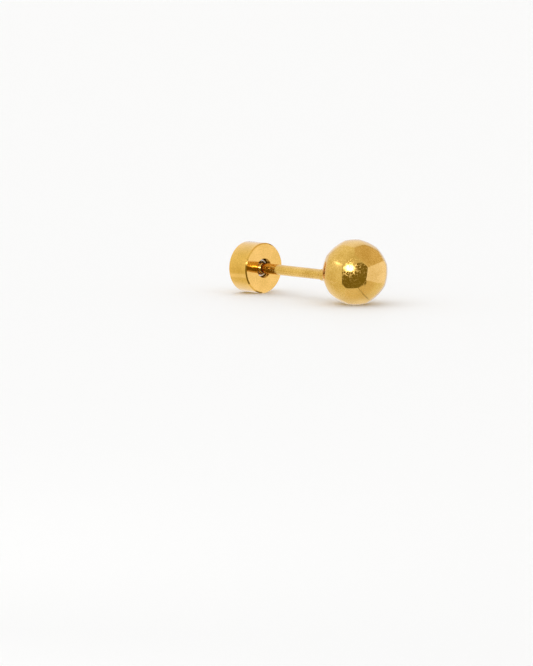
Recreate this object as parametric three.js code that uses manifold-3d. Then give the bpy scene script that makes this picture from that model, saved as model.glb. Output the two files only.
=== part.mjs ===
// Screw-back stud earring, lying on a surface as it rests by itself.
// A faceted ball is soldered to a thin post, a little off its middle. A round back with a steel
// thread bush in its hole screws on the post's threaded tip.
// Millimetres, +Z up. The surface is z = 0, the post runs along +X from the back to the ball, and
// the origin is under the middle of the earring's bounding box.
import * as THREE from 'three';
import { mergeVertices } from 'three/addons/utils/BufferGeometryUtils.js';
import Module from 'manifold-3d';

// Faceted ball. Each facet is a shallow dome, and a small flat is worn on the lowest one.
const BALL_ACROSS_FACETS = 4.95;
const DOME_RADIUS = 3;
const DOME_SEGMENTS = 64;
const REST_DEPTH = 0.05;

// Where each facet faces. from_front: degrees from the ball's front, which faces +X.
// around: degrees around the post's axis from straight up, towards -Y.
const FACETS = [
  { from_front: 0, around: 0 },
  { from_front: 38, around: 12 },
  { from_front: 47, around: 78 },
  { from_front: 28, around: 168 },
  { from_front: 62, around: 153 },
  { from_front: 54, around: 212 },
  { from_front: 48, around: 262 },
  { from_front: 60, around: 308 },
  { from_front: 72, around: 342 },
  { from_front: 84, around: 7 },
  { from_front: 83, around: 54 },
  { from_front: 88, around: 80 },
  { from_front: 95, around: 124 },
  { from_front: 90, around: 180 },
  { from_front: 92, around: 226 },
  { from_front: 90, around: 268 },
  { from_front: 103, around: 303 },
  { from_front: 107, around: 151 },
  { from_front: 112, around: 340 },
  { from_front: 118, around: 30 },
  { from_front: 128, around: 75 },
  { from_front: 133, around: 125 },
  { from_front: 133, around: 180 },
  { from_front: 132, around: 232 },
  { from_front: 138, around: 280 },
  { from_front: 148, around: 0 },
  { from_front: 180, around: 0 },
];

// Post, between the back's face and the ball
const POST_DIAMETER = 0.81;
const POST_EXPOSED = 7.5;
const POST_SEGMENTS = 32;
const COLLAR_DIAMETER = 0.95;
const COLLAR_LENGTH = 1.05;
const COLLAR_TAPER = 0.08;

// Thread at the post's tip
const THREAD_PITCH = 0.2;
const THREAD_LENGTH = 1.35;
const THREAD_DEPTH = 0.09;
const THREAD_FADE = 0.2;
const THREAD_SEGMENTS = 24;
const ROWS_PER_TURN = 5;
const TIP_DEPTH = 1.45;

// Screw-on back
const BACK_DIAMETER = 3.92;
const BACK_THICKNESS = 1.95;
const BACK_SEGMENTS = 64;
const RIM_BEVEL = 0.09;
const REAR_BEVEL = 0.12;
const HOLE_DIAMETER = 1.46;
const HOLE_DEPTH = 1.55;
const HOLE_CHAMFER = 0.06;

// Steel thread bush in the back's hole
const BUSH_DIAMETER = 1.36;
const BUSH_BORE = 0.92;
const BUSH_LENGTH = 1.15;
const BUSH_RECESS = 0.35;
const BUSH_COUNTERSINK = 0.1;

// Places worked out from the sizes above. The back lies on a flat side of its many-sided rim and
// the ball on the flat of its lowest facet, which holds the post level.
const FACET_DISTANCE = BALL_ACROSS_FACETS / 2;
const LENGTH = BACK_THICKNESS + POST_EXPOSED + BALL_ACROSS_FACETS;
const REAR_X = -LENGTH / 2;
const FACE_X = REAR_X + BACK_THICKNESS;
const BALL_X = FACE_X + POST_EXPOSED + FACET_DISTANCE;
const BALL_Z = FACET_DISTANCE - REST_DEPTH;
const AXIS_Z = (BACK_DIAMETER / 2) * Math.cos(Math.PI / BACK_SEGMENTS);
const TIP_X = FACE_X - TIP_DEPTH;

const wasm = await Module();
wasm.setup();

// Turns a closed three.js geometry into a solid that can be joined and cut.
function toSolid(geometry) {
  const bare = geometry.clone();
  bare.deleteAttribute('normal');
  bare.deleteAttribute('uv');
  const merged = mergeVertices(bare);
  const mesh = new wasm.Mesh({
    numProp: 3,
    vertProperties: new Float32Array(merged.attributes.position.array),
    triVerts: new Uint32Array(merged.index.array),
  });
  return new wasm.Manifold(mesh);
}

function toGeometry(solid) {
  const mesh = solid.getMesh();
  const geometry = new THREE.BufferGeometry();
  geometry.setAttribute('position', new THREE.BufferAttribute(mesh.vertProperties, 3));
  geometry.setIndex(new THREE.BufferAttribute(mesh.triVerts, 1));
  geometry.computeVertexNormals();
  return geometry;
}

// Turns a profile of [x, radius] points about the X axis, with a flat side straight down.
function turned(profile, segments) {
  const points = profile.map(([x, radius]) => new THREE.Vector2(radius, x));
  const geometry = new THREE.LatheGeometry(points, segments, Math.PI / segments);
  return geometry.rotateZ(-Math.PI / 2);
}

function facetDirection({ from_front, around }) {
  const polar = THREE.MathUtils.degToRad(from_front);
  const turn = THREE.MathUtils.degToRad(around);
  const out = Math.sin(polar);
  return new THREE.Vector3(Math.cos(polar), -out * Math.sin(turn), out * Math.cos(turn));
}

// What is inside the domes of all the facets, in its place on the surface.
function facetedBall() {
  const front = new THREE.Vector3(0, 0, 1);
  const domes = FACETS.map((facet) => {
    const dome = new THREE.SphereGeometry(DOME_RADIUS, DOME_SEGMENTS, DOME_SEGMENTS / 2);
    dome.translate(0, 0, FACET_DISTANCE - DOME_RADIUS);
    const turn = new THREE.Quaternion().setFromUnitVectors(front, facetDirection(facet));
    return toSolid(dome.applyQuaternion(turn));
  });
  const ball = domes.reduce((inside, dome) => inside.intersect(dome));
  const size = BALL_ACROSS_FACETS;
  const surface = new THREE.BoxGeometry(size, size, size).translate(BALL_X, 0, -size / 2);
  return ball.translate([BALL_X, 0, BALL_Z]).subtract(toSolid(surface));
}

// A rod along X with a right-hand V thread, from its tip at x = 0. The ridge rises out of the
// root cylinder near both ends.
function threadedRod() {
  const rows = Math.round((THREAD_LENGTH / THREAD_PITCH) * ROWS_PER_TURN);
  const root = POST_DIAMETER / 2 - THREAD_DEPTH;
  const rod = new THREE.CylinderGeometry(root, root, THREAD_LENGTH, THREAD_SEGMENTS, rows);
  rod.rotateZ(-Math.PI / 2);
  rod.translate(THREAD_LENGTH / 2, 0, 0);
  const place = rod.attributes.position;
  for (let i = 0; i < place.count; i += 1) {
    const x = place.getX(i);
    const y = place.getY(i);
    const z = place.getZ(i);
    const toEnd = Math.min(x, THREAD_LENGTH - x);
    const fade = THREE.MathUtils.clamp(toEnd / THREAD_FADE, 0, 1);
    const turns = x / THREAD_PITCH - Math.atan2(z, y) / (2 * Math.PI);
    const ridge = 1 - Math.abs(2 * (turns - Math.floor(turns)) - 1);
    const growth = 1 + (fade * ridge * THREAD_DEPTH) / root;
    place.setXYZ(i, x, y * growth, z * growth);
  }
  return rod;
}

function ballPost() {
  const radius = POST_DIAMETER / 2;
  const collar = COLLAR_DIAMETER / 2;
  const rodEnd = TIP_X + THREAD_LENGTH;
  const rodLap = THREAD_FADE / 2;
  const ballFace = FACE_X + POST_EXPOSED;
  const post = turned([
    [rodEnd - rodLap, 0],
    [rodEnd - rodLap, radius - THREAD_DEPTH],
    [rodEnd - rodLap + THREAD_DEPTH, radius],
    [ballFace - COLLAR_LENGTH - COLLAR_TAPER, radius],
    [ballFace - COLLAR_LENGTH, collar],
    [BALL_X, collar],
    [BALL_X, 0],
  ], POST_SEGMENTS);
  const rod = threadedRod().translate(TIP_X, 0, AXIS_Z);
  return toGeometry(facetedBall().add(toSolid(post.translate(0, 0, AXIS_Z))).add(toSolid(rod)));
}

function screwBack() {
  const radius = BACK_DIAMETER / 2;
  const hole = HOLE_DIAMETER / 2;
  return turned([
    [REAR_X, 0],
    [REAR_X, radius - REAR_BEVEL],
    [REAR_X + REAR_BEVEL, radius],
    [FACE_X - RIM_BEVEL, radius],
    [FACE_X, radius - RIM_BEVEL],
    [FACE_X, hole + HOLE_CHAMFER],
    [FACE_X - HOLE_CHAMFER, hole],
    [FACE_X - HOLE_DEPTH, hole],
    [FACE_X - HOLE_DEPTH, 0],
  ], BACK_SEGMENTS);
}

function threadBush() {
  const front = FACE_X - BUSH_RECESS;
  const rear = front - BUSH_LENGTH;
  const bore = BUSH_BORE / 2;
  const outside = BUSH_DIAMETER / 2;
  return turned([
    [rear, bore],
    [rear, outside],
    [front, outside],
    [front, bore + BUSH_COUNTERSINK],
    [front - BUSH_COUNTERSINK, bore],
    [rear, bore],
  ], POST_SEGMENTS);
}

const polishedGold = { color: 0xe0b055, roughness: 0.12, metalness: 1 };
const bareSteel = { color: 0xa9a6a2, roughness: 0.28, metalness: 1 };

function piece(name, geometry, finish) {
  const mesh = new THREE.Mesh(geometry, new THREE.MeshStandardMaterial(finish));
  mesh.name = name;
  return mesh;
}

const earring = new THREE.Group();
earring.add(piece('ball_post', ballPost(), polishedGold));

const back = new THREE.Group();
back.position.z = AXIS_Z;
back.add(piece('screw_back', screwBack(), polishedGold));
back.add(piece('thread_bush', threadBush(), bareSteel));
earring.add(back);

export default earring;
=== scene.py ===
# Looks of a screw-back stud earring that lies on a pale floor: a faceted gold ball soldered to a
# thin post, a round gold back with a hole in its face, and a bare steel thread bush in that hole.
import math

import bmesh
import bpy
from mathutils import Matrix, Vector


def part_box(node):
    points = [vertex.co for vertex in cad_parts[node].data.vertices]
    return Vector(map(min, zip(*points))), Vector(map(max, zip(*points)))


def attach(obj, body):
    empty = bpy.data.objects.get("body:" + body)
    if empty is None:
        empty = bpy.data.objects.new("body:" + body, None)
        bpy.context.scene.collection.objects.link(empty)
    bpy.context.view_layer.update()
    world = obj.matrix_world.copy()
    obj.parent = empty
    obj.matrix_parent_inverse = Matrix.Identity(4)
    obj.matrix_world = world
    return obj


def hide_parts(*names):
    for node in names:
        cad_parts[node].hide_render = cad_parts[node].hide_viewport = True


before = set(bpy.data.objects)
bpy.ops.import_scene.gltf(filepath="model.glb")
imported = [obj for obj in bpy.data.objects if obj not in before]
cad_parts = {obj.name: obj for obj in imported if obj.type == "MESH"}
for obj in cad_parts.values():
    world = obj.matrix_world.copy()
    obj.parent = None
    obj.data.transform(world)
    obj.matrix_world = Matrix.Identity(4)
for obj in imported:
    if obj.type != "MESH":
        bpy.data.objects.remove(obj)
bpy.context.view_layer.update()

MM = 0.001

# Faceted ball. Each facet is a shallow dome, and a small flat is worn on the lowest one.
FACET_DISTANCE = 2.475 * MM
DOME_RADIUS = 3.4 * MM
REST_DEPTH = 0.05 * MM
BLOCK_SIZE = 4 * FACET_DISTANCE
FACET_FINENESS = 5
EDGE_SOFTENING = 2

# Where each facet faces: degrees from the ball's front, which faces +X, and degrees around the
# post's axis from straight up, towards -Y.
FACETS = [
    (0, 0), (38, 12), (47, 78), (28, 168), (62, 153), (54, 212), (48, 262), (60, 308),
    (72, 342), (84, 7), (83, 54), (88, 80), (95, 124), (90, 180), (92, 226), (90, 268),
    (103, 303), (107, 151), (112, 340), (118, 30), (128, 75), (133, 125), (133, 180), (132, 232),
    (138, 280), (148, 0), (180, 0),
]

# Post, solder collar and thread. The collar widens into the ball by a fillet, from a little before
# the ball's back to a little inside it.
POST_RADIUS = 0.405 * MM
COLLAR_RADIUS = 0.475 * MM
COLLAR_LENGTH = 1.05 * MM
COLLAR_TAPER = 0.08 * MM
COLLAR_ROUND = COLLAR_TAPER / 3
FILLET_RADIUS = 0.66 * MM
FILLET_START = 0.08 * MM
FILLET_END = 0.32 * MM
THREAD_PITCH = 0.2 * MM
THREAD_LENGTH = 1.35 * MM
THREAD_ROOT = 0.315 * MM
THREAD_STEPS = 48

# Screw-on back and its bush
RIM_BEVEL = 0.09 * MM
REAR_ROUND = 0.12 * MM
HOLE_RADIUS = 0.73 * MM
HOLE_DEPTH = 1.55 * MM
HOLE_ROUND = 0.06 * MM
BUSH_BORE = 0.46 * MM
BUSH_COUNTERSINK = 0.1 * MM
BUSH_THREAD_DEPTH = 0.07 * MM
BUSH_ROUND = 0.02 * MM

# How finely round shapes are divided, how close doubled vertices lie, and how faces are shaded
TURNED_STEPS = 160
ROUND_STEPS = 5
BEVEL_STEPS = 1
WELD = 1e-6
CUT_REACH = 1e-7
SMOOTH_ANGLE = math.radians(35)
FLAT_WEIGHT = 90

# Places taken from the frame, in metres. The post runs along X.
STUD_LOW, STUD_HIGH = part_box("ball_post")
BACK_LOW, BACK_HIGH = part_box("screw_back")
BUSH_LOW, BUSH_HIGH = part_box("thread_bush")
BALL_CENTRE = Vector((STUD_HIGH.x - FACET_DISTANCE, 0, FACET_DISTANCE - REST_DEPTH))
BALL_BACK = BALL_CENTRE.x - FACET_DISTANCE
TIP_X = STUD_LOW.x
AXIS_Z = (BACK_LOW.z + BACK_HIGH.z) / 2
REAR_X = BACK_LOW.x
FACE_X = BACK_HIGH.x
BACK_RADIUS = (BACK_HIGH.z - BACK_LOW.z) / 2
BUSH_RADIUS = (BUSH_HIGH.z - BUSH_LOW.z) / 2

# The picture's frame, and where the ball's middle lies in it
FRAME_WIDTH = 533
FRAME_HEIGHT = 666
BALL_PIXEL = (355, 272.2)
PIXELS_PER_METRE = 13100
CAMERA_AZIMUTH = math.radians(46)
CAMERA_ELEVATION = math.radians(6.7)
CAMERA_LENS = 400
CAMERA_SENSOR = 36
CAMERA_NEAR = 0.01
CAMERA_FAR = 50
CAMERA_BACK = Vector((
    math.sin(CAMERA_AZIMUTH) * math.cos(CAMERA_ELEVATION),
    -math.cos(CAMERA_AZIMUTH) * math.cos(CAMERA_ELEVATION),
    math.sin(CAMERA_ELEVATION),
))
CAMERA_RIGHT = Vector((math.cos(CAMERA_AZIMUTH), math.sin(CAMERA_AZIMUTH), 0))
CAMERA_UP = CAMERA_BACK.cross(CAMERA_RIGHT)

# Finishes. Clouds, grain and rings are numbers per millimetre, and reliefs are depths. Speckle is
# clouds and grain together. A span is the range of a mask that goes from the first to the second
# tone or roughness.
CLOUD_DETAIL = 3
FINE_DETAIL = 2
SPECKLE_SPAN = (0.75, 1.25)
STUD_CLOUDS = 0.7
STUD_GRAIN = 8
STUD_TONES = ((0.7, 0.43, 0.11), (0.9, 0.59, 0.2))
STUD_GLOSS_SPAN = (0.44, 0.66)
STUD_ROUGHNESS = (0.05, 0.36)
STUD_RELIEF = 0.002 * MM
BACK_CLOUDS = 0.9
BACK_GRAIN = 8
BACK_RINGS = 12
BACK_TONES = ((0.77, 0.47, 0.11), (0.93, 0.57, 0.16))
BACK_GLOSS_SPAN = (0.5, 0.7)
BACK_ROUGHNESS = (0.08, 0.2)
BUSH_RINGS = 18
BUSH_SPAN = (0.3, 0.7)
BUSH_TONES = ((0.54, 0.52, 0.5), (0.64, 0.62, 0.6))
BUSH_ROUGHNESS = (0.16, 0.28)
RING_RELIEF = 0.0004 * MM

# Sockets of a Mix node that mixes colours
MIX_FACTOR = 0
MIX_FIRST = 6
MIX_SECOND = 7
MIX_RESULT = 2

# Pale floor
FLOOR_SIZE = 20
FLOOR_COLOR = (0.9, 0.9, 0.9)
FLOOR_ROUGHNESS = 0.7

# Light. Ways are degrees to the right of the camera and above the horizon, as seen from the ball.
# A shade of the tent has its way, its edge and its core in degrees, and its colour.
TENT_WALL = (0.9, 0.88, 0.66)
TENT_SHADES = [
    ((180, 0), 80, 45, (0.98, 1, 1.08)),
    ((-160, -60), 65, 20, (0.97, 0.98, 1)),
    ((-90, -28), 45, 10, (0.83, 0.78, 0.52)),
    ((0, 50), 45, 10, (0.8, 0.76, 0.52)),
    ((100, 49), 48, 38, (0.78, 0.68, 0.44)),
    ((110, 46), 40, 5, (0.75, 0.63, 0.38)),
    ((52, -46), 40, 12, (0.85, 0.76, 0.53)),
    ((162, -5), 32, 12, (0.84, 0.86, 0.96)),
    ((0, -88), 32, 8, (0.85, 0.78, 0.57)),
]
TENT_WHITE = (1, 1, 1)
SUN_STRENGTH = 0.3
SUN_SPREAD = math.radians(60)
SUN_TILT = (math.radians(15), math.radians(-20), 0)

# Cards that show only in reflections. Each has its way, its width and height in degrees, its
# distance in metres, its colour and strength, and the share of it that does not fade out. The thin
# strips lie between the ways that neighbouring facets mirror, so they draw lines along the edges.
DARK_CARD = (0.22, 0.18, 0.035)
BROWN_CARD = (0.4, 0.32, 0.14)
SOFT_BOX = (1, 0.98, 0.92)
RIGHT_PANEL = (1.06, 1.05, 1.15)
CARD_EDGE = 0.5
CARDS = {
    "low_dark_card": ((0, -24), (92, 67), 0.2, DARK_CARD, 1, 1),
    "high_dark_card": ((22, 19), (38, 24), 0.19, DARK_CARD, 1, 1),
    "left_dark_strip": ((-47, 10), (8, 36), 0.17, DARK_CARD, 1, 1),
    "soft_box": ((-16, 18), (28, 19), 0.15, SOFT_BOX, 10, 0.5),
    "right_panel": ((87, -2), (84, 46), 0.16, RIGHT_PANEL, 1, 1),
    "right_brown_strip": ((149, 42), (8, 62), 0.14, BROWN_CARD, 1, 1),
    "left_strip": ((-78, 27), (34, 22), 0.14, SOFT_BOX, 2.2, 0.4),
    "low_left_strip": ((-100, -24), (56, 16), 0.14, SOFT_BOX, 1, 0.3),
    "floor_strip": ((86, -69), (76, 10), 0.14, DARK_CARD, 1, 0.8),
}


# Modelling by hand


def deselect():
    bpy.ops.object.select_all(action="DESELECT")


def pick(piece):
    """Makes one piece the only selected and the active one."""
    deselect()
    piece.select_set(True)
    bpy.context.view_layer.objects.active = piece


def start_piece(name):
    """Names the primitive just added and opens it in edit mode."""
    piece = bpy.context.object
    piece.name = name
    bpy.ops.object.mode_set(mode="EDIT")
    return piece


def apply_modifiers(piece):
    pick(piece)
    for modifier in list(piece.modifiers):
        bpy.ops.object.modifier_apply(modifier=modifier.name)


def weld_all():
    """Merges doubled vertices, in edit mode."""
    bpy.ops.mesh.select_all(action="SELECT")
    bpy.ops.mesh.remove_doubles(threshold=WELD)


def close_body():
    """Merges doubled vertices, points the faces outwards and leaves edit mode."""
    weld_all()
    bpy.ops.mesh.normals_make_consistent(inside=False)
    bpy.ops.object.mode_set(mode="OBJECT")


def saw_off(place, outwards):
    """Cuts away what lies beyond a plane and closes the cut, in edit mode."""
    bpy.ops.mesh.select_all(action="SELECT")
    bpy.ops.mesh.bisect(
        plane_co=place, plane_no=outwards, use_fill=True, clear_outer=True, threshold=CUT_REACH)


def settle_in_frame(piece):
    """Puts the piece's place into its mesh."""
    pick(piece)
    bpy.ops.object.transform_apply(location=True, rotation=True, scale=True)


def combine(piece, other, operation):
    """Joins another body to a piece, or cuts the piece with it."""
    settle_in_frame(other)
    settle_in_frame(piece)
    cut = piece.modifiers.new(operation.lower(), "BOOLEAN")
    cut.operation = operation
    cut.solver = "EXACT"
    cut.object = other
    apply_modifiers(piece)
    bpy.data.objects.remove(other)


def draw_outline(name, points):
    """An open line of vertices, drawn by extruding one vertex along (x, radius) points."""
    deselect()
    bpy.ops.mesh.primitive_plane_add(size=MM, location=(0, 0, AXIS_Z))
    piece = start_piece(name)
    bpy.ops.mesh.merge(type="CENTER")
    place = Vector((points[0][0], 0, points[0][1]))
    bpy.ops.transform.translate(value=place)
    for x, radius in points[1:]:
        step = Vector((x, 0, radius)) - place
        bpy.ops.mesh.extrude_vertices_move(TRANSFORM_OT_translate={"value": step})
        place += step
    return piece


def round_corners(piece, corners):
    """Rounds the outline's corners at (x, radius) points by their own amounts and steps. One step
    gives a flat bevel."""
    for x, radius, amount, steps in corners:
        bpy.ops.mesh.select_all(action="DESELECT")
        mesh = bmesh.from_edit_mesh(piece.data)
        corner = Vector((x, 0, radius))
        nearest = min(mesh.verts, key=lambda vertex: (vertex.co - corner).length)
        nearest.select_set(True)
        mesh.select_flush(True)
        bmesh.update_edit_mesh(piece.data)
        bpy.ops.mesh.bevel(offset=amount, segments=steps, affect="VERTICES")


def turn_outline():
    """Turns the outline in edit mode about the post's axis into a closed body."""
    bpy.ops.mesh.select_all(action="SELECT")
    bpy.ops.mesh.spin(steps=TURNED_STEPS, angle=math.tau, center=(0, 0, AXIS_Z), axis=(1, 0, 0))
    close_body()


# Pieces


def facet_direction(from_front, around):
    polar = math.radians(from_front)
    turn = math.radians(around)
    out = math.sin(polar)
    return Vector((math.cos(polar), -out * math.sin(turn), out * math.cos(turn)))


def make_ball():
    """A block with every facet cut on it, then domed, softened at its edges and worn below."""
    deselect()
    bpy.ops.mesh.primitive_cube_add(size=BLOCK_SIZE, location=BALL_CENTRE)
    ball = start_piece("ball")
    for from_front, around in FACETS:
        out = facet_direction(from_front, around)
        saw_off(BALL_CENTRE + out * FACET_DISTANCE, out)
    close_body()
    grid = ball.modifiers.new("fine_grid", "SUBSURF")
    grid.subdivision_type = "SIMPLE"
    grid.levels = FACET_FINENESS
    grid.render_levels = FACET_FINENESS
    dome = ball.modifiers.new("domed_facets", "CAST")
    dome.cast_type = "SPHERE"
    dome.use_radius_as_size = False
    dome.size = FACET_DISTANCE
    dome.factor = FACET_DISTANCE / DOME_RADIUS
    soften = ball.modifiers.new("soft_edges", "SMOOTH")
    soften.iterations = EDGE_SOFTENING
    apply_modifiers(ball)
    bpy.ops.object.mode_set(mode="EDIT")
    saw_off((0, 0, 0), (0, 0, -1))
    close_body()
    return ball


def make_post():
    """The plain post with its solder collar, which widens into the ball."""
    collar_x = BALL_BACK - COLLAR_LENGTH
    fillet_x = BALL_BACK - FILLET_START
    shank_x = TIP_X + THREAD_LENGTH
    post = draw_outline("post", [
        (shank_x, 0),
        (shank_x, THREAD_ROOT),
        (shank_x + POST_RADIUS - THREAD_ROOT, POST_RADIUS),
        (collar_x - COLLAR_TAPER, POST_RADIUS),
        (collar_x, COLLAR_RADIUS),
        (fillet_x, COLLAR_RADIUS),
        (BALL_BACK + FILLET_END, FILLET_RADIUS),
        (BALL_CENTRE.x, COLLAR_RADIUS),
        (BALL_CENTRE.x, 0),
    ])
    round_corners(post, [
        (collar_x - COLLAR_TAPER, POST_RADIUS, COLLAR_ROUND, ROUND_STEPS),
        (collar_x, COLLAR_RADIUS, COLLAR_ROUND, ROUND_STEPS),
        (fillet_x, COLLAR_RADIUS, FILLET_START, ROUND_STEPS),
    ])
    turn_outline()
    return post


def make_thread(name, start_x, length, root, crest):
    """A rod with a right-hand V thread from start_x, wound by a Screw modifier and cut square."""
    deselect()
    bpy.ops.mesh.primitive_plane_add(size=MM, location=(start_x - THREAD_PITCH, 0, AXIS_Z))
    rod = start_piece(name)
    bpy.ops.mesh.merge(type="CENTER")
    bpy.ops.transform.translate(value=(0, 0, root))
    for rise in (crest - root, root - crest):
        bpy.ops.mesh.extrude_vertices_move(
            TRANSFORM_OT_translate={"value": (THREAD_PITCH / 2, 0, rise)})
    bpy.ops.object.mode_set(mode="OBJECT")
    wind = rod.modifiers.new("wind", "SCREW")
    wind.axis = "X"
    wind.screw_offset = THREAD_PITCH
    wind.iterations = math.ceil(length / THREAD_PITCH) + 2
    wind.steps = THREAD_STEPS
    wind.render_steps = THREAD_STEPS
    apply_modifiers(rod)
    bpy.ops.object.mode_set(mode="EDIT")
    weld_all()
    saw_off((start_x, 0, AXIS_Z), (-1, 0, 0))
    saw_off((start_x + length, 0, AXIS_Z), (1, 0, 0))
    close_body()
    return rod


def make_stud():
    """Ball, post and threaded tip, soldered into one piece."""
    stud = make_ball()
    combine(stud, make_post(), "UNION")
    lap = THREAD_PITCH / 2
    thread = make_thread("thread", TIP_X, THREAD_LENGTH + lap, THREAD_ROOT, POST_RADIUS)
    combine(stud, thread, "UNION")
    stud.name = "stud_piece"
    pick(stud)
    bpy.ops.object.shade_smooth_by_angle(angle=SMOOTH_ANGLE)
    return stud


def make_back():
    """The thick round back with a bevelled rim, a rounded rear and a blind hole in its face."""
    floor_x = FACE_X - HOLE_DEPTH
    back = draw_outline("back_piece", [
        (REAR_X, 0),
        (REAR_X, BACK_RADIUS),
        (FACE_X, BACK_RADIUS),
        (FACE_X, HOLE_RADIUS),
        (floor_x, HOLE_RADIUS),
        (floor_x, 0),
    ])
    round_corners(back, [
        (REAR_X, BACK_RADIUS, REAR_ROUND, ROUND_STEPS),
        (FACE_X, BACK_RADIUS, RIM_BEVEL, BEVEL_STEPS),
        (FACE_X, HOLE_RADIUS, HOLE_ROUND, ROUND_STEPS),
    ])
    turn_outline()
    settle_in_frame(back)
    smooth_flat_faces(back)
    return back


def make_bush():
    """The steel bush with a countersunk, threaded bore."""
    rear_x = BUSH_LOW.x
    front_x = BUSH_HIGH.x
    mouth = BUSH_BORE + BUSH_COUNTERSINK
    bush = draw_outline("bush_piece", [
        (rear_x, 0),
        (rear_x, BUSH_RADIUS),
        (front_x, BUSH_RADIUS),
        (front_x, mouth),
        (front_x - BUSH_COUNTERSINK, BUSH_BORE),
        (front_x - BUSH_COUNTERSINK, 0),
    ])
    round_corners(bush, [
        (front_x, BUSH_RADIUS, BUSH_ROUND, ROUND_STEPS),
        (front_x, mouth, BUSH_ROUND, ROUND_STEPS),
    ])
    turn_outline()
    crest = BUSH_BORE + BUSH_THREAD_DEPTH
    bore = make_thread("bore", rear_x - THREAD_PITCH, 2 * (front_x - rear_x), BUSH_BORE, crest)
    combine(bush, bore, "DIFFERENCE")
    smooth_flat_faces(bush)
    return bush


def smooth_flat_faces(piece):
    """Smooth shading that keeps broad flats flat beside their rounded edges."""
    pick(piece)
    bpy.ops.object.shade_smooth_by_angle(angle=SMOOTH_ANGLE)
    weigh = piece.modifiers.new("flat_normals", "WEIGHTED_NORMAL")
    weigh.weight = FLAT_WEIGHT
    weigh.keep_sharp = True
    apply_modifiers(piece)


# Finishes


def new_group(name, sliders, results):
    """An empty node group with number inputs and outputs, its input node and its output node."""
    group = bpy.data.node_groups.new(name, "ShaderNodeTree")
    for label in sliders:
        group.interface.new_socket(label, in_out="INPUT", socket_type="NodeSocketFloat")
    for label in results:
        group.interface.new_socket(label, in_out="OUTPUT", socket_type="NodeSocketFloat")
    return group, group.nodes.new("NodeGroupInput"), group.nodes.new("NodeGroupOutput")


def place_in_mm(tree):
    """Object coordinates in millimetres."""
    place = tree.nodes.new("ShaderNodeTexCoord")
    scale = tree.nodes.new("ShaderNodeVectorMath")
    scale.operation = "SCALE"
    scale.inputs["Scale"].default_value = 1 / MM
    tree.links.new(place.outputs["Object"], scale.inputs[0])
    return scale.outputs["Vector"]


def math_node(tree, operation, first, second):
    """A Math node. Each value is a number or a socket."""
    node = tree.nodes.new("ShaderNodeMath")
    node.operation = operation
    for socket, value in zip(node.inputs, (first, second)):
        if isinstance(value, bpy.types.NodeSocket):
            tree.links.new(value, socket)
        else:
            socket.default_value = value
    return node.outputs["Value"]


def noise(tree, place, scale, detail):
    node = tree.nodes.new("ShaderNodeTexNoise")
    node.inputs["Detail"].default_value = detail
    tree.links.new(place, node.inputs["Vector"])
    tree.links.new(scale, node.inputs["Scale"])
    return node.outputs["Fac"]


def build_polish_marks():
    """Broad clouds and a fine grain left by tumbling, each by its own number per millimetre."""
    group, sliders, results = new_group("polish_marks", ("Clouds", "Grain"), ("Cloud", "Grain"))
    place = place_in_mm(group)
    cloud = noise(group, place, sliders.outputs["Clouds"], CLOUD_DETAIL)
    grain = noise(group, place, sliders.outputs["Grain"], FINE_DETAIL)
    group.links.new(cloud, results.inputs["Cloud"])
    group.links.new(grain, results.inputs["Grain"])
    return group


def build_turning_marks():
    """Fine rings about the post's axis, by their number per millimetre."""
    group, sliders, results = new_group("turning_marks", ("Rings",), ("Ring",))
    place = place_in_mm(group)
    split = group.nodes.new("ShaderNodeSeparateXYZ")
    group.links.new(place, split.inputs["Vector"])
    rise = math_node(group, "SUBTRACT", split.outputs["Z"], AXIS_Z / MM)
    squares = math_node(
        group, "ADD",
        math_node(group, "MULTIPLY", split.outputs["Y"], split.outputs["Y"]),
        math_node(group, "MULTIPLY", rise, rise))
    radius = math_node(group, "SQRT", squares, 0)
    turned = group.nodes.new("ShaderNodeCombineXYZ")
    group.links.new(split.outputs["X"], turned.inputs["X"])
    group.links.new(radius, turned.inputs["Y"])
    ring = noise(group, turned.outputs["Vector"], sliders.outputs["Rings"], FINE_DETAIL)
    group.links.new(ring, results.inputs["Ring"])
    return group


def start_metal(name):
    """A new metal, its node tree and its shader."""
    material = bpy.data.materials.new(name)
    material.use_nodes = True
    shader = material.node_tree.nodes["Principled BSDF"]
    shader.inputs["Metallic"].default_value = 1
    return material, material.node_tree, shader


def place_group(tree, group, **values):
    """A group node with its numbers set."""
    node = tree.nodes.new("ShaderNodeGroup")
    node.node_tree = group
    for label, value in values.items():
        node.inputs[label].default_value = value
    return node


def ease(tree, mask, start, end):
    """A mask's way from its start to its end, and the node that gives it."""
    reach = tree.nodes.new("ShaderNodeMapRange")
    reach.inputs["From Min"].default_value = start
    reach.inputs["From Max"].default_value = end
    tree.links.new(mask, reach.inputs["Value"])
    return reach.outputs["Result"], reach


def mix_tones(tree, mask, first, second):
    """A colour between two tones by a mask, and the node that gives it."""
    mix = tree.nodes.new("ShaderNodeMix")
    mix.data_type = "RGBA"
    mix.inputs[MIX_FIRST].default_value = (*first, 1)
    mix.inputs[MIX_SECOND].default_value = (*second, 1)
    tree.links.new(mask, mix.inputs[MIX_FACTOR])
    return mix.outputs[MIX_RESULT], mix


def tint(tree, shader, mask, span, tones):
    """Base colour between two tones, over a span of the mask."""
    share, _ = ease(tree, mask, *span)
    color, _ = mix_tones(tree, share, *tones)
    tree.links.new(color, shader.inputs["Base Color"])


def gloss(tree, shader, mask, span, roughness):
    """Roughness between two values, over a span of the mask."""
    value, reach = ease(tree, mask, *span)
    low, high = roughness
    reach.inputs["To Min"].default_value = low
    reach.inputs["To Max"].default_value = high
    tree.links.new(value, shader.inputs["Roughness"])


def relief(tree, shader, height, depth):
    """Bumps of a depth in metres."""
    bump = tree.nodes.new("ShaderNodeBump")
    bump.inputs["Strength"].default_value = 1
    bump.inputs["Distance"].default_value = depth
    tree.links.new(height, bump.inputs["Height"])
    tree.links.new(bump.outputs["Normal"], shader.inputs["Normal"])


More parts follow.
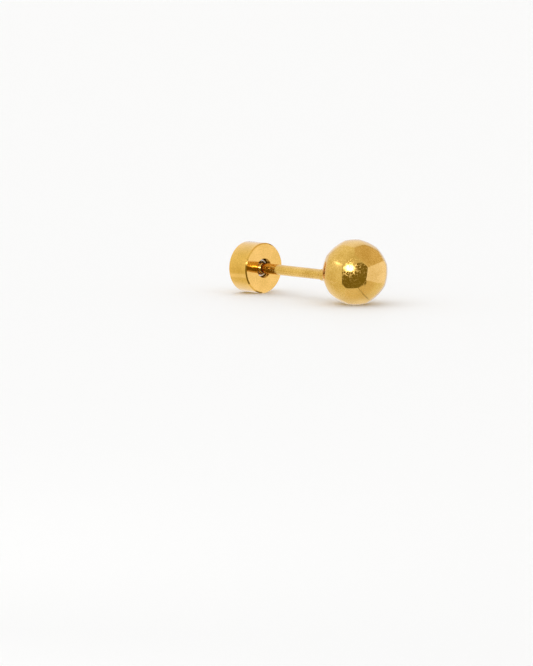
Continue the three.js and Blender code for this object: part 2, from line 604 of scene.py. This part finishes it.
def make_stud_gold(polish):
    """Tumbled gold plating of the ball and post: speckled, a little cloudy."""
    material, tree, shader = start_metal("stud_gold")
    marks = place_group(tree, polish, Clouds=STUD_CLOUDS, Grain=STUD_GRAIN)
    speckle = math_node(tree, "ADD", marks.outputs["Cloud"], marks.outputs["Grain"])
    tint(tree, shader, speckle, SPECKLE_SPAN, STUD_TONES)
    gloss(tree, shader, marks.outputs["Grain"], STUD_GLOSS_SPAN, STUD_ROUGHNESS)
    relief(tree, shader, marks.outputs["Grain"], STUD_RELIEF)
    return material


def make_back_gold(polish, turning):
    """Gold plating over the turned back."""
    material, tree, shader = start_metal("back_gold")
    marks = place_group(tree, polish, Clouds=BACK_CLOUDS, Grain=BACK_GRAIN)
    rings = place_group(tree, turning, Rings=BACK_RINGS)
    speckle = math_node(tree, "ADD", marks.outputs["Cloud"], marks.outputs["Grain"])
    tint(tree, shader, speckle, SPECKLE_SPAN, BACK_TONES)
    gloss(tree, shader, marks.outputs["Grain"], BACK_GLOSS_SPAN, BACK_ROUGHNESS)
    height = math_node(tree, "ADD", rings.outputs["Ring"], marks.outputs["Grain"])
    relief(tree, shader, height, RING_RELIEF)
    return material


def make_bush_steel(turning):
    """Bare turned steel."""
    material, tree, shader = start_metal("bush_steel")
    rings = place_group(tree, turning, Rings=BUSH_RINGS)
    tint(tree, shader, rings.outputs["Ring"], BUSH_SPAN, BUSH_TONES)
    gloss(tree, shader, rings.outputs["Ring"], BUSH_SPAN, BUSH_ROUGHNESS)
    relief(tree, shader, rings.outputs["Ring"], RING_RELIEF)
    return material


def dress(piece, material, body, node):
    """Gives a piece its finish, hangs it on its body and hides the frame's node that it stands in
    for.
    """
    piece.data.materials.clear()
    piece.data.materials.append(material)
    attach(piece, body)
    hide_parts(node)


# Camera, floor and light


def add_camera():
    """A far camera with a long lens, placed so that the ball falls on its pixel."""
    distance = CAMERA_LENS * FRAME_HEIGHT / PIXELS_PER_METRE / CAMERA_SENSOR
    ball_right = (BALL_PIXEL[0] - FRAME_WIDTH / 2) / PIXELS_PER_METRE
    ball_up = (FRAME_HEIGHT / 2 - BALL_PIXEL[1]) / PIXELS_PER_METRE
    place = BALL_CENTRE + CAMERA_BACK * distance - CAMERA_RIGHT * ball_right - CAMERA_UP * ball_up
    data = bpy.data.cameras.new("camera")
    data.lens = CAMERA_LENS
    data.sensor_width = CAMERA_SENSOR
    data.clip_start = CAMERA_NEAR
    data.clip_end = CAMERA_FAR
    camera = bpy.data.objects.new("camera", data)
    turn = Matrix((CAMERA_RIGHT, CAMERA_UP, CAMERA_BACK)).transposed().to_4x4()
    camera.matrix_world = Matrix.Translation(place) @ turn
    bpy.context.collection.objects.link(camera)
    bpy.context.scene.camera = camera


def add_floor():
    """A pale floor that the metal does not mirror, so that the tent shows in it all round."""
    deselect()
    bpy.ops.mesh.primitive_plane_add(size=FLOOR_SIZE, location=(0, 0, 0))
    floor = bpy.context.object
    floor.name = "floor"
    material = bpy.data.materials.new("pale_floor")
    material.use_nodes = True
    shader = material.node_tree.nodes["Principled BSDF"]
    shader.inputs["Base Color"].default_value = (*FLOOR_COLOR, 1)
    shader.inputs["Roughness"].default_value = FLOOR_ROUGHNESS
    floor.data.materials.append(material)
    floor.visible_glossy = False


def look_direction(azimuth, elevation):
    """The way from the ball, in degrees to the right of the camera and above the horizon."""
    turn = math.radians(azimuth)
    rise = math.radians(elevation)
    forward = Vector((CAMERA_BACK.x, CAMERA_BACK.y, 0)).normalized()
    level = forward * math.cos(turn) + CAMERA_RIGHT * math.sin(turn)
    return level * math.cos(rise) + Vector((0, 0, math.sin(rise)))


def choose_shader(tree, share, first, second):
    """Two shaders mixed by a share of the second."""
    mix = tree.nodes.new("ShaderNodeMixShader")
    for socket, value in zip(mix.inputs, (share, first, second)):
        tree.links.new(value, socket)
    return mix.outputs["Shader"]


def make_glow(name, color, strength, core):
    """A card's light. It fades out from a core, as a share of the card, to the card's edge."""
    material = bpy.data.materials.new(name)
    material.use_nodes = True
    tree = material.node_tree
    tree.nodes.clear()
    glow = tree.nodes.new("ShaderNodeEmission")
    glow.inputs["Color"].default_value = (*color, 1)
    glow.inputs["Strength"].default_value = strength
    out = tree.nodes.new("ShaderNodeOutputMaterial")
    if core == 1:
        tree.links.new(glow.outputs["Emission"], out.inputs["Surface"])
        return material
    place = tree.nodes.new("ShaderNodeTexCoord")
    length = tree.nodes.new("ShaderNodeVectorMath")
    length.operation = "LENGTH"
    tree.links.new(place.outputs["Object"], length.inputs[0])
    share, fade = ease(tree, length.outputs["Value"], CARD_EDGE, CARD_EDGE * core)
    fade.interpolation_type = "SMOOTHSTEP"
    clear = tree.nodes.new("ShaderNodeBsdfTransparent")
    light = choose_shader(tree, share, clear.outputs["BSDF"], glow.outputs["Emission"])
    tree.links.new(light, out.inputs["Surface"])
    return material


def add_card(name, way, size, distance, color, strength, core):
    """A flat card that faces the ball and shows only in reflections."""
    direction = look_direction(*way)
    deselect()
    bpy.ops.mesh.primitive_plane_add(size=1, location=BALL_CENTRE + direction * distance)
    card = bpy.context.object
    card.name = name
    card.rotation_euler = direction.to_track_quat("Z", "Y").to_euler()
    wide, tall = (2 * distance * math.tan(math.radians(angle) / 2) for angle in size)
    card.scale = (wide, tall, 1)
    card.data.materials.append(make_glow(name, color, strength, core))
    card.visible_camera = False
    card.visible_diffuse = False
    card.visible_shadow = False


def add_tent():
    """A white tent. What the metal mirrors of it is a little warm, with broad soft shades."""
    world = bpy.data.worlds.new("tent")
    bpy.context.scene.world = world
    world.use_nodes = True
    tree = world.node_tree
    tree.nodes.clear()
    place = tree.nodes.new("ShaderNodeTexCoord")
    walls = tree.nodes.new("ShaderNodeBackground")
    color = None
    for direction, edge, core, dim in TENT_SHADES:
        toward = tree.nodes.new("ShaderNodeVectorMath")
        toward.operation = "DOT_PRODUCT"
        toward.inputs[1].default_value = look_direction(*direction)
        tree.links.new(place.outputs["Generated"], toward.inputs[0])
        bounds = (math.cos(math.radians(angle)) for angle in (edge, core))
        share, reach = ease(tree, toward.outputs["Value"], *bounds)
        reach.interpolation_type = "SMOOTHSTEP"
        shaded, mix = mix_tones(tree, share, TENT_WALL, dim)
        if color:
            tree.links.new(color, mix.inputs[MIX_FIRST])
        color = shaded
    tree.links.new(color, walls.inputs["Color"])
    white = tree.nodes.new("ShaderNodeBackground")
    white.inputs["Color"].default_value = (*TENT_WHITE, 1)
    path = tree.nodes.new("ShaderNodeLightPath")
    out = tree.nodes.new("ShaderNodeOutputWorld")
    light = choose_shader(
        tree, path.outputs["Is Glossy Ray"], white.outputs["Background"], walls.outputs["Background"])
    tree.links.new(light, out.inputs["Surface"])


def add_light():
    """The tent, a soft overhead lamp that the metal does not mirror, and the cards."""
    add_tent()
    sun = bpy.data.lights.new("overhead", "SUN")
    sun.energy = SUN_STRENGTH
    sun.angle = SUN_SPREAD
    lamp = bpy.data.objects.new("overhead", sun)
    lamp.rotation_euler = SUN_TILT
    lamp.visible_glossy = False
    bpy.context.collection.objects.link(lamp)
    for name, card in CARDS.items():
        add_card(name, *card)


polish_marks = build_polish_marks()
turning_marks = build_turning_marks()

stud = make_stud()
back = make_back()
bush = make_bush()
dress(stud, make_stud_gold(polish_marks), "stud", "ball_post")
dress(back, make_back_gold(polish_marks, turning_marks), "back", "screw_back")
dress(bush, make_bush_steel(turning_marks), "bush", "thread_bush")

add_floor()
add_light()
add_camera()
bpy.context.scene.view_settings.view_transform = "Standard"
